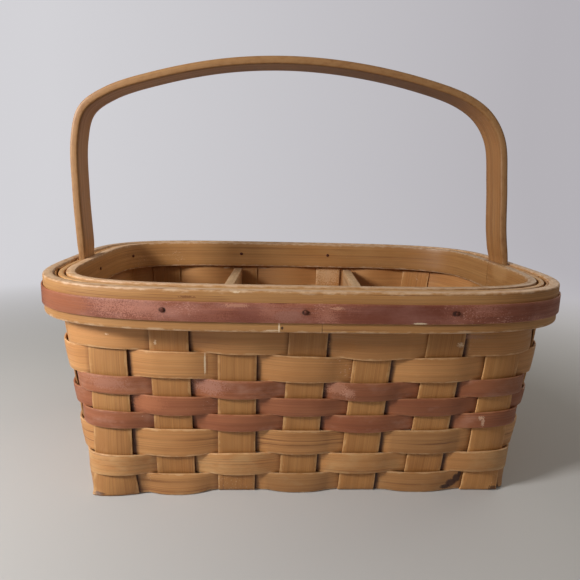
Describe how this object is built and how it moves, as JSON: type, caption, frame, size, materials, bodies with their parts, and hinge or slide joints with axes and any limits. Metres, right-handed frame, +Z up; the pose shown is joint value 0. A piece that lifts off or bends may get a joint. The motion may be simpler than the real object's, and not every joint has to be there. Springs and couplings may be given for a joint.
{
  "type": "condiment caddy",
  "caption": "Tapered rectangular splint basket with lapped rim hoops, a fixed bentwood handle over it and divider boards that make separate compartments for bottles and cutlery.",
  "frame": {"origin": "centre of the bounding box's bottom face, on the surface that the caddy stands on", "axes": "+X along the long side, to the viewer's right; +Y from the front to the back; +Z up"},
  "size_m": [0.3634, 0.2618, 0.293],
  "materials": {
    "tan_splint": "thin planed splint, waxed, satin",
    "stake_splint": "thin sawn splint, slightly fuzzy, satin",
    "rose_splint": "rose brown stain on splint, worn at the edges",
    "rose_band": "rose brown stain, scuffed",
    "rim_wood": "bent strip with eased edges, satin",
    "handle_wood": "bent strip with eased edges, satin",
    "divider_board": "rough sawn softwood board",
    "brad_steel": "small round heads, dulled"
  },
  "bodies": {
    "root": {"weaver_row_1": "tan_splint", "weaver_row_2": "tan_splint", "weaver_row_3": "rose_splint", "weaver_row_4": "rose_splint", "weaver_row_5": "rose_splint", "weaver_row_6": "tan_splint", "weaver_row_7": "tan_splint", "weaver_row_8": "tan_splint", "cross_stake_1": "stake_splint", "cross_stake_2": "stake_splint", "cross_stake_3": "stake_splint", "cross_stake_4": "stake_splint", "cross_stake_5": "stake_splint", "cross_stake_6": "stake_splint", "cross_stake_7": "stake_splint", "long_stake_1": "stake_splint", "long_stake_2": "stake_splint", "long_stake_3": "stake_splint", "long_stake_4": "stake_splint", "long_stake_5": "stake_splint", "outer_rim": "rim_wood", "inner_rim": "rim_wood", "rim_accent_band": "rose_band", "rim_filler_front": "stake_splint", "rim_filler_back": "stake_splint", "handle": "handle_wood", "divider_left": "divider_board", "divider_right": "divider_board", "rim_brad_front_1": "brad_steel", "rim_brad_front_2": "brad_steel", "rim_brad_front_3": "brad_steel", "rim_brad_back_1": "brad_steel", "rim_brad_back_2": "brad_steel", "rim_brad_back_3": "brad_steel", "inner_brad_back_1": "brad_steel", "inner_brad_back_2": "brad_steel", "handle_brad_left": "brad_steel", "handle_brad_right": "brad_steel", "inner_brad_corner": "brad_steel"}
  },
  "joints": []
}
